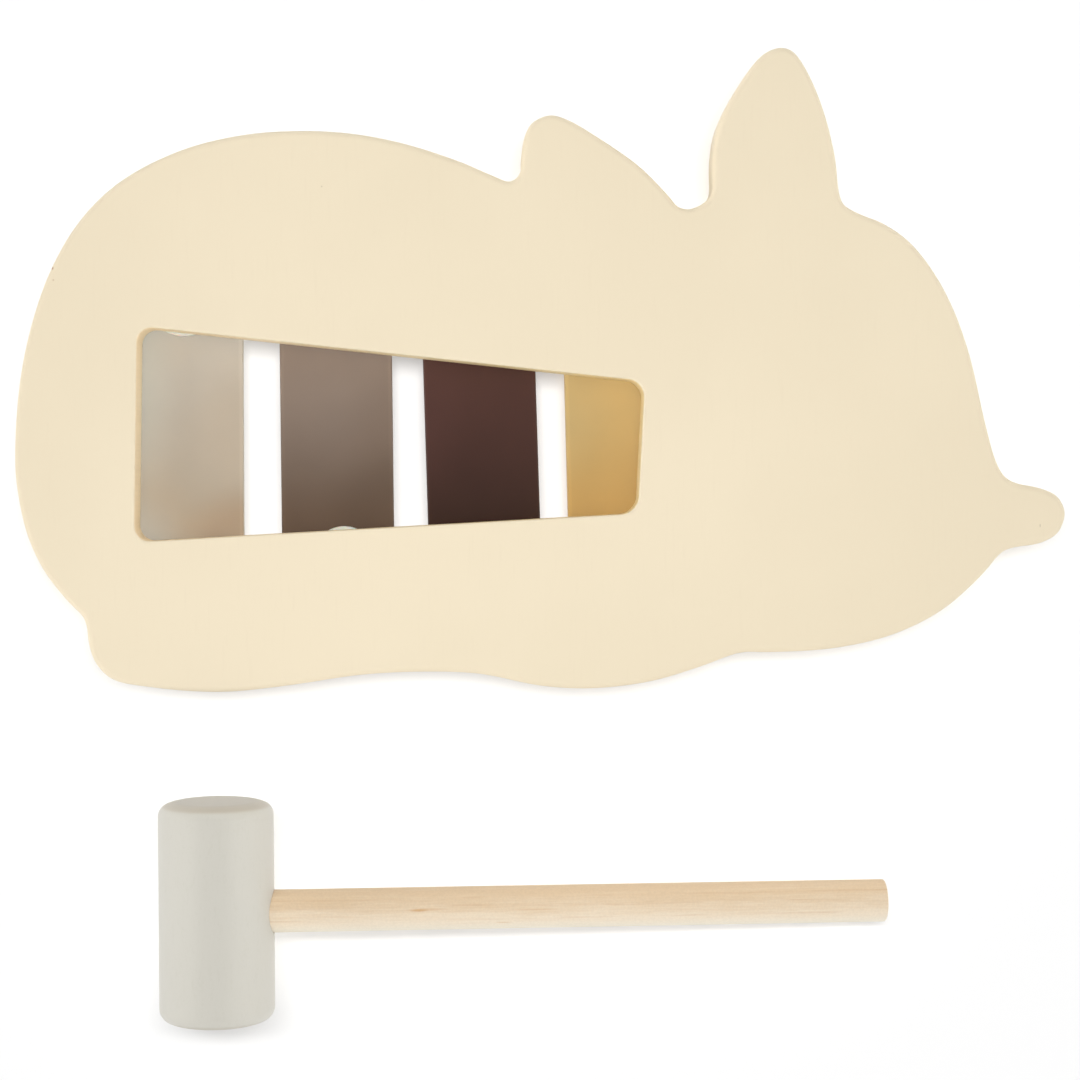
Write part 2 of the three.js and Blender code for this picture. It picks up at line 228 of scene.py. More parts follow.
class SurfaceGraph(Graph):
    """The node tree of one material with a Principled surface."""

    def __init__(self, name: str) -> None:
        """Starts the material.

        Args:
            name: The material's name.
        """
        self.material = bpy.data.materials.new(name)
        self.material.use_nodes = True
        super().__init__(self.material.node_tree)
        self.surface = self.node("ShaderNodeBsdfPrincipled")
        self.node("ShaderNodeOutputMaterial", {"Surface": self.surface.outputs["BSDF"]})
        self.coordinates = self.node("ShaderNodeTexCoord").outputs

    def set_surface(self, **inputs: object) -> None:
        """Fills the surface's inputs, named with underscores for spaces."""
        self.fill(self.surface, {key.replace("_", " "): value for key, value in inputs.items()})

    def mapped(self, vector: Socket, **inputs: Sequence[float]) -> Socket:
        """A vector scaled, turned and moved by a Scale, a Rotation and a Location."""
        return self.result("ShaderNodeMapping", "Vector", {"Vector": vector, **inputs})

    def place(self, scale: Sequence[float] = (1, 1, 1), own: Matrix | None = None) -> Socket:
        """Object coordinates, taken to a piece's own axes and then scaled.

        Args:
            scale: Factors along the axes.
            own: The piece's own place and turn in the frame.

        Returns:
            The vector's socket.
        """
        at = self.coordinates["Object"]
        if own is not None:
            back = own.inverted()
            at = self.mapped(at, Location=back.to_translation(), Rotation=back.to_euler())
        return self.mapped(at, Scale=scale)

    def measured(self, at: Socket, origin: Sequence[float], unit: Sequence[float]) -> Socket:
        """Coordinates from an origin, with a unit for each axis; an endless unit drops its axis."""
        back = [-start / length for start, length in zip(origin, unit)]
        return self.mapped(at, Location=back, Scale=[1 / length for length in unit])

    def facing(self, axis: str) -> Socket:
        """How far the surface faces along an axis of the frame, from -1 to 1."""
        return self.axis(self.coordinates["Normal"], axis)

    def bump(self, height: Socket, depth: float, **under: Socket) -> Socket:
        """A normal bumped by a height from 0 to 1, over the Normal of another bump if given."""
        inputs = {"Height": height, "Distance": depth, **under}
        return self.result("ShaderNodeBump", "Normal", inputs)


# Finishes


@dataclass(frozen=True)
class SoftSpot:
    """A round or long spot of another tint that fades out at its rim."""

    tint: Tint
    centre: Span
    reach: Span
    share: float
    core: float = 0.2

    def over(self, graph: SurfaceGraph, at: Socket, colour: object) -> Socket:
        """Lays the spot over a colour.

        Args:
            graph: The material's graph.
            at: Coordinates, of which X and Y say where the spot is.
            colour: The colour under it.

        Returns:
            The colour with the spot.
        """
        near = graph.measured(at, (*self.centre, 0), (*self.reach, math.inf))
        far = graph.result("ShaderNodeVectorMath", "Value", {0: near}, operation="LENGTH")
        return graph.blend(graph.spread(far, self.core, 1, self.share, 0), colour, self.tint)


class Finish:
    """A finish, laid on in a material of its own."""

    def paint(self, graph: SurfaceGraph, *place: object) -> None:
        """Lays the finish on in a graph, each kind in its own way."""
        raise NotImplementedError

    def material(self, name: str, *place: object) -> Material:
        """Builds the material.

        Args:
            name: The material's name.
            place: Where the piece is, for a finish that follows the piece.

        Returns:
            The new material.
        """
        graph = SurfaceGraph(name)
        self.paint(graph, *place)
        return graph.material


@dataclass(frozen=True)
class CreamLacquer(Finish):
    """Matt cream lacquer on wood, with faint clouds, short upright streaks and a few specks."""

    tint: Tint = (242, 228, 200)
    cloud_tint: Tint = (239, 225, 197)
    streak_tint: Tint = (234, 219, 191)
    roughness: Span = (0.51, 0.59)
    specular: float = 0.35
    clouds_per_metre: float = 14
    cloud_span: Span = (0.35, 0.68)
    streaks_per_metre: Rates = (1400, 90, 400)
    streak_span: Span = (0.56, 0.8)
    streak_share: float = 0.18
    peel_per_metre: float = 1100
    streak_depth: float = 0.012 * MM
    peel_depth: float = 0.010 * MM
    specks: tuple[SoftSpot, ...] = (
        SoftSpot((176, 128, 92), (-134.5 * MM, 73.9 * MM), (0.5 * MM, 0.7 * MM), 0.75),
        SoftSpot((204, 178, 140), (-134.2 * MM, 70.6 * MM), (0.4 * MM, 0.4 * MM), 0.6),
        SoftSpot((176, 160, 130), (137.9 * MM, 2.9 * MM), (0.25 * MM, 0.7 * MM), 0.5),
        SoftSpot((196, 180, 148), (-60.2 * MM, 96.4 * MM), (0.35 * MM, 0.35 * MM), 0.5),
    )

    def paint(self, graph: SurfaceGraph) -> None:
        """Lays the lacquer on.

        Args:
            graph: The material's graph.
        """
        at = graph.place()
        clouds = graph.spread(graph.noise(at, self.clouds_per_metre, DETAILED), *self.cloud_span)
        streaks = graph.noise(graph.place(self.streaks_per_metre))
        shown = graph.spread(streaks, *self.streak_span, 0, self.streak_share)
        colour = graph.blend(clouds, self.tint, self.cloud_tint)
        colour = graph.blend(shown, colour, self.streak_tint)
        for speck in self.specks:
            colour = speck.over(graph, at, colour)
        peel = graph.bump(graph.noise(at, self.peel_per_metre, 1), self.peel_depth)
        normal = graph.bump(streaks, self.streak_depth, Normal=peel)
        gloss = graph.spread(clouds, 0, 1, *self.roughness)
        graph.set_surface(Base_Color=colour, Roughness=gloss, Normal=normal)
        graph.set_surface(Specular_IOR_Level=self.specular)


@dataclass(frozen=True)
class RoutedWall(Finish):
    """The slot's walls: lacquer over routed wood, tinted lighter than the face as painted light,
    and warmer towards the slot's narrow end as painted bounce light from the bars.
    """

    # Painted light: the walls are tinted lighter than the face, and warmer at the narrow end as
    # painted bounce light
    lit_wide_end_tint: Tint = (255, 235, 198)
    bounce_lit_narrow_end_tint: Tint = (249, 229, 179)
    ends: Span = (-96 * MM, 4 * MM)
    roughness: float = 0.6
    specular: float = 0.3
    ripples_per_metre: Rates = (1300, 1300, 30)
    ripple_span: Span = (0.3, 0.6)
    ripple_shade: float = 0.97
    fuzz_per_metre: float = 2400
    ripple_depth: float = 0.03 * MM
    fuzz_depth: float = 0.01 * MM

    def paint(self, graph: SurfaceGraph) -> None:
        """Lays the lacquer on.

        Args:
            graph: The material's graph.
        """
        at = graph.place()
        # Painted bounce light: warmer towards the slot's narrow end, beside the darker, yellower
        # bars
        warm = graph.spread(graph.axis(at, "X"), *self.ends)
        ripples = graph.noise(graph.place(self.ripples_per_metre))
        colour = graph.blend(warm, self.lit_wide_end_tint, self.bounce_lit_narrow_end_tint)
        colour = graph.shaded(colour, graph.spread(ripples, *self.ripple_span, self.ripple_shade))
        fuzz = graph.bump(graph.noise(at, self.fuzz_per_metre), self.fuzz_depth)
        normal = graph.bump(ripples, self.ripple_depth, Normal=fuzz)
        graph.set_surface(Base_Color=colour, Roughness=self.roughness, Normal=normal)
        graph.set_surface(Specular_IOR_Level=self.specular)


@dataclass(frozen=True)
class BarPaint(Finish):
    """Satin paint on a metal bar.

    On the back, painted sheen lightens the tint towards the bar's upper end and painted shade
    darkens it towards the lower end, with soft patches of painted highlight, reflection and shade.
    Along the back's edges a slightly paler band is a painted highlight.
    """

    tint: Tint
    # Back tints: painted sheen at the bar's upper end, painted shade at its lower end
    back_sheen_tint: Tint
    back_shade_tint: Tint
    # Soft patches of painted highlight, reflection and shade on the back
    light_patches: tuple[SoftSpot, ...] = ()
    # How much the painted edge highlight lightens the back
    edge_highlight_lift: float = 1.07
    sheen_span: Span = (-1 * MM, 43 * MM)
    back_span: Span = (0.2, 0.8)
    roughness: Span = (0.31, 0.41)
    gloss_span: Span = (0.2, 0.8)
    clouds_per_metre: float = 60
    cloud_shade: float = 0.96
    peel_per_metre: float = 900
    peel_depth: float = 0.012 * MM

    def paint(self, graph: SurfaceGraph, low: Vector, high: Vector) -> None:
        """Sprays the paint on.

        Args:
            graph: The material's graph.
            low: The bar's lowest corner.
            high: The bar's highest corner.
        """
        at = graph.place()
        on_bar = graph.measured(at, low, high - low)
        # Painted sheen and shade: the back runs lighter towards the upper end, darker towards the
        # lower end
        sheen = graph.spread(graph.axis(at, "Y"), *self.sheen_span)
        back = graph.blend(sheen, self.back_shade_tint, self.back_sheen_tint)
        # Soft patches of painted highlight, reflection and shade
        for light_patch in self.light_patches:
            back = light_patch.over(graph, on_bar, back)
        # Painted highlight along the back's edges, where the attribute marks them
        edge_highlight = graph.result("ShaderNodeAttribute", "Fac", {}, attribute_name=EDGE_HIGHLIGHT)
        back = graph.shaded(back, graph.spread(edge_highlight, 0, 1, 1, self.edge_highlight_lift))
        colour = graph.blend(graph.spread(graph.facing("Z"), *self.back_span), self.tint, back)
        clouds = graph.noise(at, self.clouds_per_metre, DETAILED)
        colour = graph.shaded(colour, graph.spread(clouds, *NOISE_SPAN, self.cloud_shade))
        gloss = graph.spread(clouds, *self.gloss_span, *self.roughness)
        peel = graph.bump(graph.noise(at, self.peel_per_metre), self.peel_depth)
        graph.set_surface(Base_Color=colour, Roughness=gloss, Normal=peel)


@dataclass(frozen=True)
class MilkyPlastic(Finish):
    """Whitish rubber or nylon that lets some light in, cloudy with a fine speckle."""

    tint: Tint
    speckle_tint: Tint
    speckles_per_metre: float
    speckle_detail: float
    speckle_span: Span
    speckle_shares: Span
    speckle_depth: float
    roughness: float
    index: float
    clearness: float
    glow: float
    glow_depth: float

    def paint(self, graph: SurfaceGraph) -> None:
        """Colours the plastic through.

        Args:
            graph: The material's graph.
        """
        speckle = graph.noise(graph.place(), self.speckles_per_metre, self.speckle_detail)
        shown = graph.spread(speckle, *self.speckle_span, *self.speckle_shares)
        colour = graph.blend(shown, self.tint, self.speckle_tint)
        graph.set_surface(Base_Color=colour, Normal=graph.bump(speckle, self.speckle_depth))
        graph.set_surface(Roughness=self.roughness, IOR=self.index)
        graph.set_surface(Transmission_Weight=self.clearness)
        graph.set_surface(Subsurface_Weight=self.glow, Subsurface_Scale=self.glow_depth)


RUBBER = MilkyPlastic(
    tint=(226, 226, 216),
    speckle_tint=(208, 206, 193),
    speckles_per_metre=900,
    speckle_detail=DETAILED,
    speckle_span=(0.55, 0.8),
    speckle_shares=(0, 0.5),
    speckle_depth=0.02 * MM,
    roughness=0.36,
    index=1.42,
    clearness=0.08,
    glow=0.2,
    glow_depth=1.5 * MM,
)
NYLON = MilkyPlastic(
    tint=(232, 232, 224),
    speckle_tint=(227.85, 227.85, 220),
    speckles_per_metre=2600,
    speckle_detail=2,
    speckle_span=NOISE_SPAN,
    speckle_shares=(1, 0),
    speckle_depth=0.006 * MM,
    roughness=0.3,
    index=1.5,
    clearness=0.3,
    glow=0.3,
    glow_depth=0.8 * MM,
)


@dataclass(frozen=True)
class ZincSteel(Finish):
    """Zinc-plated steel of the screws, slightly uneven in gloss."""

    tint: Tint = (206, 208, 212)
    warm_tint: Tint = (204, 202, 190)
    clouds_per_metre: float = 500
    warm_span: Span = (0.45, 0.7)
    gloss_span: Span = (0.2, 0.8)
    roughness: Span = (0.2, 0.4)
    scratches_per_metre: Rates = (400, 400, 6000)
    depth: float = 0.004 * MM

    def paint(self, graph: SurfaceGraph) -> None:
        """Plates the steel.

        Args:
            graph: The material's graph.
        """
        clouds = graph.noise(graph.place(), self.clouds_per_metre, DETAILED)
        scratches = graph.noise(graph.place(self.scratches_per_metre))
        colour = graph.blend(graph.spread(clouds, *self.warm_span), self.tint, self.warm_tint)
        gloss = graph.spread(clouds, *self.gloss_span, *self.roughness)
        normal = graph.bump(scratches, self.depth)
        graph.set_surface(Base_Color=colour, Metallic=1.0, Roughness=gloss, Normal=normal)


@dataclass(frozen=True)
class HeadPaint(Finish):
    """Matt warm-grey paint over turned wood, a little grainy, with painted shade on its ends and
    shoulders.
    """

    tint: Tint = (208, 205, 195)
    grain_tint: Tint = (201, 198, 186)
    # Painted shade: darker, warmer tints for the rounded shoulders and the flat ends
    shoulder_shade_tint: Tint = (198, 191, 177)
    end_shade_tint: Tint = (194, 188, 175)
    shoulder_shade_span: Span = (0.6, 0.85)
    end_shade_span: Span = (0.97, 1)
    roughness: float = 0.42
    grain_per_metre: Rates = (800, 800, 180)
    pores_per_metre: Rates = (2000, 2000, 1200)
    grain_span: Span = (0.5, 0.68)
    grain_share: float = 0.35
    depth: float = 0.03 * MM

    def paint(self, graph: SurfaceGraph, own: Matrix) -> None:
        """Lays the paint on.

        Args:
            graph: The material's graph.
            own: The head's place, with its own Z along its axis.
        """
        grain = graph.noise(graph.place(self.grain_per_metre, own), detail=DETAILED)
        pores = graph.noise(graph.place(self.pores_per_metre, own))
        both = graph.between(0.5, grain, pores)
        shown = graph.spread(both, *self.grain_span, 0, self.grain_share)
        colour = graph.blend(shown, self.tint, self.grain_tint)
        # Painted shade on the shoulders and ends, which face along the head's axis
        endward = graph.math("ABSOLUTE", graph.facing("Y"))
        shoulder_shade = graph.spread(endward, *self.shoulder_shade_span)
        colour = graph.blend(shoulder_shade, colour, self.shoulder_shade_tint)
        colour = graph.blend(graph.spread(endward, *self.end_shade_span), colour, self.end_shade_tint)
        normal = graph.bump(both, self.depth)
        graph.set_surface(Base_Color=colour, Roughness=self.roughness, Normal=normal)


@dataclass(frozen=True)
class GrainLine:
    """A thin dark line along the grain of the handle that comes and goes."""

    across: float
    seed: float
    strength: float
    half_width: float = 0.35 * MM
    wander: float = 0.6 * MM
    wanders_per_metre: float = 22
    dashes_per_metre: float = 45
    dash_span: Span = (0.45, 0.65)

    def shown(self, graph: SurfaceGraph, at: Socket) -> Socket:
        """How strongly the line shows.

        Args:
            graph: The material's graph.
            at: The handle's own coordinates, with X across it and Z along it.

        Returns:
            From 0 to the line's strength.
        """
        rates = ((self.wanders_per_metre, self.seed), (self.dashes_per_metre, -self.seed))
        slow, dash = (
            graph.noise(graph.vector(graph.math("MULTIPLY", graph.axis(at, "Z"), rate), seed))
            for rate, seed in rates
        )
        offset = graph.spread(slow, 0, 1, self.across - self.wander, self.across + self.wander)
        distance = graph.math("ABSOLUTE", graph.math("SUBTRACT", graph.axis(at, "X"), offset))
        thin = graph.spread(distance, 0, self.half_width, 1, 0)
        return graph.math("MULTIPLY", thin, graph.spread(dash, *self.dash_span, 0, self.strength))


@dataclass(frozen=True)
class BareWood(Finish):
    """Bare light hardwood: long fine grain, a browner side partly in painted shade, a painted
    highlight on the other side, thin dark lines and a small fleck.
    """

    light_tint: Tint = (246, 230, 206)
    # The darker tint is partly the wood's own tone and partly painted shade on the browner side
    dark_wood_and_shade_tint: Tint = (229, 203, 169)
    line_tint: Tint = (206, 164, 116)
    # Painted highlight: a paler band along the lighter side of the handle
    highlight_tint: Tint = (250, 241, 222)
    browner_and_shaded_within: float = 5.5 * MM
    highlight_span: Span = (-5.9 * MM, -2.4 * MM)
    grain_per_metre: Rates = (700, 700, 30)
    grain_weight: float = 0.3
    fibres_per_metre: Rates = (2600, 2600, 160)
    fibre_weight: float = 0.2
    tone_span: Span = (0.15, 1.35)
    flour_per_metre: float = 1500
    flour_span: Span = (0.35, 0.65)
    flour_shade: float = 0.95
    flour_roughness: float = 0.7
    roughness: Span = (0.55, 0.68)
    specular: float = 0.3
    depth: float = 0.02 * MM
    knots: tuple[SoftSpot, ...] = (
        SoftSpot((214, 168, 116), (0.5 * MM, 60.0 * MM), (0.5 * MM, 3.4 * MM), 0.75),
        SoftSpot((222, 182, 134), (0.7 * MM, 62.0 * MM), (0.4 * MM, 7.5 * MM), 0.4),
        SoftSpot((222, 184, 138), (0.2 * MM, 92.0 * MM), (0.4 * MM, 9.0 * MM), 0.4),
        SoftSpot((224, 190, 146), (-3.4 * MM, 83.5 * MM), (0.3 * MM, 3.2 * MM), 0.5),
    )
    lines: tuple[GrainLine, ...] = (
        GrainLine(1.4 * MM, 3.1, 0.35),
        GrainLine(-2.2 * MM, 7.7, 0.25),
        GrainLine(3.6 * MM, 12.4, 0.25),
    )

    def paint(self, graph: SurfaceGraph, own: Matrix) -> None:
        """Draws the wood's grain.

        Args:
            graph: The material's graph.
            own: The handle's place, with its own Z along its axis and X across it, level.
        """
        at = graph.place(own=own)
        across = graph.axis(at, "X")
        grain = graph.noise(graph.place(self.grain_per_metre, own), detail=DETAILED)
        fibres = graph.noise(graph.place(self.fibres_per_metre, own))
        # One side browner: partly the wood's tone, partly painted shade across the handle
        tone = graph.spread(across, -self.browner_and_shaded_within, self.browner_and_shaded_within)
        for fine, weight in ((grain, self.grain_weight), (fibres, self.fibre_weight)):
            tone = graph.math("MULTIPLY_ADD", graph.spread(fine, *NOISE_SPAN), weight, tone)
        tone = graph.spread(tone, *self.tone_span)
        colour = graph.blend(tone, self.light_tint, self.dark_wood_and_shade_tint)
        # Painted highlight: a paler band along the lighter side
        pale = graph.spread(across, *self.highlight_span, 1, 0)
        colour = graph.blend(pale, colour, self.highlight_tint)
        for line in self.lines:
            colour = graph.blend(line.shown(graph, at), colour, self.line_tint)
        level = graph.vector(across, graph.axis(at, "Z"))
        for knot in self.knots:
            colour = knot.over(graph, level, colour)
        flour = graph.noise(at, self.flour_per_metre, DETAILED, self.flour_roughness)
        colour = graph.shaded(colour, graph.spread(flour, *self.flour_span, self.flour_shade))
        gloss = graph.spread(fibres, *NOISE_SPAN, *self.roughness)
        normal = graph.bump(fibres, self.depth)
        graph.set_surface(Base_Color=colour, Roughness=gloss, Normal=normal)
        graph.set_surface(Specular_IOR_Level=self.specular)


# Mesh work


@dataclass(frozen=True)
class Corner:
    """One corner of a turned body's half outline."""

    radius: float
    height: float
    rounding: float = 0.0


def added(name: str, data: ID) -> Object:
    """Adds an object to the scene, at the origin.

    Args:
        name: The object's name.
        data: Its mesh, curve, lamp or camera.

    Returns:
        The new object.
    """
    made = bpy.data.objects.new(name, data)
    bpy.context.scene.collection.objects.link(made)
    return made


def mesh_object(bm: BMesh, name: str) -> Object:
    """Turns a closed bmesh into an object of the scene and frees it.

    Args:
        bm: The body, at its place in the frame.
        name: The object's name.

    Returns:
        The new object, at the origin.
    """
    bmesh.ops.recalc_face_normals(bm, faces=bm.faces)
    mesh = bpy.data.meshes.new(name)
    bm.to_mesh(mesh)
    bm.free()
    return added(name, mesh)


def baked_mesh(piece: Object) -> Mesh:
    """A new mesh of an object as its modifiers or its curve make it."""
    graph = bpy.context.evaluated_depsgraph_get()
    return bpy.data.meshes.new_from_object(piece.evaluated_get(graph))


def combine(target: Object, tools: Iterable[Object], operation: str) -> None:
    """Cuts closed bodies out of a piece, or joins them to it, and removes them.

    Args:
        target: The piece that is changed.
        tools: The bodies that cut or join it.
        operation: DIFFERENCE or UNION.
    """
    for tool in tools:
        modifier = target.modifiers.new("joinery", "BOOLEAN")
        modifier.operation = operation
        modifier.solver = "EXACT"
        modifier.object = tool
        mesh = baked_mesh(target)
        target.modifiers.clear()
        target.data = mesh
        bpy.data.objects.remove(tool)


def around(loop: Sequence) -> list[tuple]:
    """The pairs of neighbours all round a closed loop."""
    return list(zip(loop, [*loop[1:], loop[0]]))


def signed_area(loop: Loop) -> float:
    """The area inside a loop seen from above, positive if it runs counter-clockwise."""
    return sum(start.x * end.y - end.x * start.y for start, end in around(loop)) / 2


def chained(start: BMVert) -> list[BMVert]:
    """Follows a closed loop of loose edges once round.

    Args:
        start: The vertex to start from.

    Returns:
        The loop's vertices in order.
    """
    chain = [start]
    edge = start.link_edges[0]
    vert = edge.other_vert(start)
    while vert != start:
        chain.append(vert)
        edge = next(other for other in vert.link_edges if other != edge)
        vert = edge.other_vert(vert)
    return chain


def merged_copy(node: Object) -> BMesh:
    """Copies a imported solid's mesh as one closed body and leaves the node itself alone.

    Args:
        node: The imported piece.

    Returns:
        The copy.
    """
    bm = bmesh.new()
    bm.from_mesh(node.data)
    bmesh.ops.remove_doubles(bm, verts=bm.verts, dist=MERGE_DISTANCE)
    return bm


def section_loops(node: Object, height: float) -> list[list[Vector]]:
    """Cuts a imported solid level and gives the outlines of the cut.

    Args:
        node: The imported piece.
        height: Where it is cut.

    Returns:
        Counter-clockwise loops, the largest first, with no points along straight sides.
    """
    bm = merged_copy(node)
    whole = [*bm.verts, *bm.edges, *bm.faces]
    level = Vector((0, 0, height))
    bmesh.ops.bisect_plane(
        bm, geom=whole, plane_co=level, plane_no=UP, clear_inner=True, clear_outer=True
    )
    bmesh.ops.remove_doubles(bm, verts=bm.verts, dist=MERGE_DISTANCE)
    bmesh.ops.dissolve_limit(bm, angle_limit=STRAIGHT, verts=bm.verts, edges=bm.edges)
    seen: set[BMVert] = set()
    loops = []
    for start in bm.verts:
        if start not in seen:
            chain = chained(start)
            seen.update(chain)
            loop = [vert.co.copy() for vert in chain]
            loops.append(loop if signed_area(loop) > 0 else loop[::-1])
    bm.free()
    return sorted(loops, key=signed_area, reverse=True)


def four_corners(loop: Loop) -> list[Vector]:
    """Where the four longest sides of a rounded four-sided loop would meet.

    Args:
        loop: The counter-clockwise loop.

    Returns:
        The four sharp corners, counter-clockwise.
    """
    sides = around(loop)
    order = sorted(range(len(sides)), key=lambda place: (sides[place][1] - sides[place][0]).length)
    longest = [sides[place] for place in sorted(order[-4:])]
    return [intersect_line_line(*first, *second)[0] for first, second in around(longest)]


def within(corners: Loop, point: Vector, margin: float) -> bool:
    """Whether a point lies inside a counter-clockwise outline, or this near to it.

    Args:
        corners: The outline's corners.
        point: The point to test.
        margin: How far outside still counts.

    Returns:
        Whether it does.
    """
    for start, end in around(corners):
        side = (end - start).to_2d().normalized()
        if side.cross((point - start).to_2d()) < -margin:
            return False
    return True


def raise_face(bm: BMesh, face: BMFace, height: float) -> None:
    """Extrudes a lone level face straight up into a closed body.

    Args:
        bm: The bmesh.
        face: The face, which becomes the body's underside.
        height: How far it is raised.
    """
    raised = bmesh.ops.extrude_face_region(bm, geom=[face])["geom"]
    verts = [item for item in raised if isinstance(item, BMVert)]
    bmesh.ops.translate(bm, verts=verts, vec=UP * height)
    bmesh.ops.recalc_face_normals(bm, faces=bm.faces)


def bevel(bm: BMesh, geometry: list, affect: str, size: float, steps: int) -> None:
    """Rounds edges or vertices.

    Args:
        bm: The bmesh.
        geometry: The edges or vertices to round.
        affect: EDGES or VERTICES.
        size: The rounding's size.
        steps: How many steps it has.
    """
    bmesh.ops.bevel(
        bm, geom=geometry, offset=size, affect=affect, segments=steps, profile=0.5, material=-1
    )


def steep_rims(bm: BMesh) -> list[BMEdge]:
    """The level edges where a flat face meets an upright wall."""
    steep = [edge for edge in bm.edges if edge.calc_face_angle(0) > STEEP]
    return [edge for edge in steep if abs((edge.verts[0].co - edge.verts[1].co).z) < MERGE_DISTANCE]


def level_faces(bm: BMesh) -> list[BMFace]:
    """The faces that lie level."""
    return [face for face in bm.faces if abs(face.normal.z) > math.cos(STRAIGHT)]


def inset(bm: BMesh, faces: list[BMFace], width: float) -> list[BMFace]:
    """Draws a region of faces in from its outline, and gives the faces of the margin."""
    return bmesh.ops.inset_region(bm, faces=faces, thickness=width, use_even_offset=True)["faces"]


def rounded_plate(corners: Loop, rounding: float, low: float, high: float, steps: int) -> BMesh:
    """A closed upright plate on four corners, rounded in plan.

    Args:
        corners: Its corners seen from above.
        rounding: The radius of its upright edges.
        low: The height of its underside.
        high: The height of its upper side.
        steps: How many steps a rounded corner has.

    Returns:
        The plate.
    """
    bm = bmesh.new()
    face = bm.faces.new([bm.verts.new((corner.x, corner.y, low)) for corner in corners])
    raise_face(bm, face, high - low)
    rising = [edge for edge in bm.edges if edge.verts[0].co.xy == edge.verts[1].co.xy]
    bevel(bm, rising, "EDGES", rounding, steps)
    return bm


def smooth_face(loop: Loop, steps: int) -> BMesh:
    """One level face inside a smooth closed curve through a loop's points.

    Args:
        loop: The points.
        steps: How many steps the curve takes from point to point.

    Returns:
        A bmesh with the face.
    """
    curve = bpy.data.curves.new("outline", "CURVE")
    curve.dimensions = "3D"
    spline = curve.splines.new("BEZIER")
    spline.bezier_points.add(len(loop) - 1)
    spline.use_cyclic_u = True
    spline.resolution_u = steps
    for point, place in zip(spline.bezier_points, loop):
        point.co = place
        point.handle_left_type = "AUTO"
        point.handle_right_type = "AUTO"
    helper = added("outline", curve)
    bm = bmesh.new()
    bm.from_mesh(baked_mesh(helper))
    bpy.data.objects.remove(helper)
    bmesh.ops.edgeloop_fill(bm, edges=bm.edges)
    return bm


def turned(
    name: str, own: Matrix, profile: Sequence[Corner], steps: int, round_steps: int = 6
) -> Object:
    """Turns a half outline round an axis into a solid.

    Args:
        name: The object's name.
        own: The solid's place, with its axis along Z.
        profile: Its corners in order. It starts and ends on the axis, or goes round clear of it.
        steps: How many steps a full turn has.
        round_steps: How many steps a rounded corner has.

    Returns:
        The solid.
    """
    bm = bmesh.new()
    verts = [bm.verts.new((corner.radius, 0, corner.height)) for corner in profile]
    bm.faces.new(verts)
    for vert, corner in zip(verts, profile):
        if corner.rounding:
            bevel(bm, [vert], "VERTICES", corner.rounding, round_steps)
    bmesh.ops.delete(bm, geom=bm.faces[:], context="FACES_ONLY")
    on_axis = [edge for edge in bm.edges if max(vert.co.x for vert in edge.verts) < MERGE_DISTANCE]
    bmesh.ops.delete(bm, geom=on_axis, context="EDGES")
    outline = [*bm.verts, *bm.edges]
    bmesh.ops.spin(
        bm, geom=outline, cent=(0, 0, 0), axis=UP, angle=math.tau, steps=steps, use_merge=True
    )
    bmesh.ops.remove_doubles(bm, verts=bm.verts, dist=MERGE_DISTANCE)
    bmesh.ops.transform(bm, matrix=own, verts=bm.verts)
    return mesh_object(bm, name)


def place_along(foot: Vector, direction: Vector, level: Vector | None = None) -> Matrix:
    """A place whose own Z points along a direction.

    Args:
        foot: The place's origin.
        direction: Where its Z points.
        level: Where its X points, square to the direction; any by default.

    Returns:
        The place as a matrix.
    """
    along = direction.normalized()
    across = (level or along.orthogonal()).normalized()
    turn = Matrix((across, along.cross(across), along)).transposed()
    return Matrix.Translation(foot) @ turn.to_4x4()


def upright(node: str, height: float) -> Matrix:
    """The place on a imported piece's upright axis at a height."""
    first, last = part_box(node)
    return Matrix.Translation(((first + last) / 2).xy.to_3d() + UP * height)


def cutter(own: Matrix, radius: float, length: float, steps: int) -> Object:
    """A round post that cuts a hole from its place along its own Z."""
    profile = [Corner(0, 0), Corner(radius, 0), Corner(radius, length), Corner(0, length)]
    return turned("cutter", own, profile, steps)


def dress(piece: Object, node: str, body: Body, slot: Slot, *materials: Material) -> None:
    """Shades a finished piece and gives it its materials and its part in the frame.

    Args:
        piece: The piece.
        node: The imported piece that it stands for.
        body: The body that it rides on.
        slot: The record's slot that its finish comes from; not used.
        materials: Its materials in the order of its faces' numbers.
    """
    for material in materials:
        piece.data.materials.append(material)
    piece.data.shade_smooth()
    piece.data.set_sharp_from_angle(angle=SHARP)
    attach(piece, body.value)
    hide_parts(node)
    faces = len(piece.data.polygons)
    LOG.info("%s: %d faces, stands for %s, rides on %s", piece.name, faces, node, body.value)


# Sub-assemblies


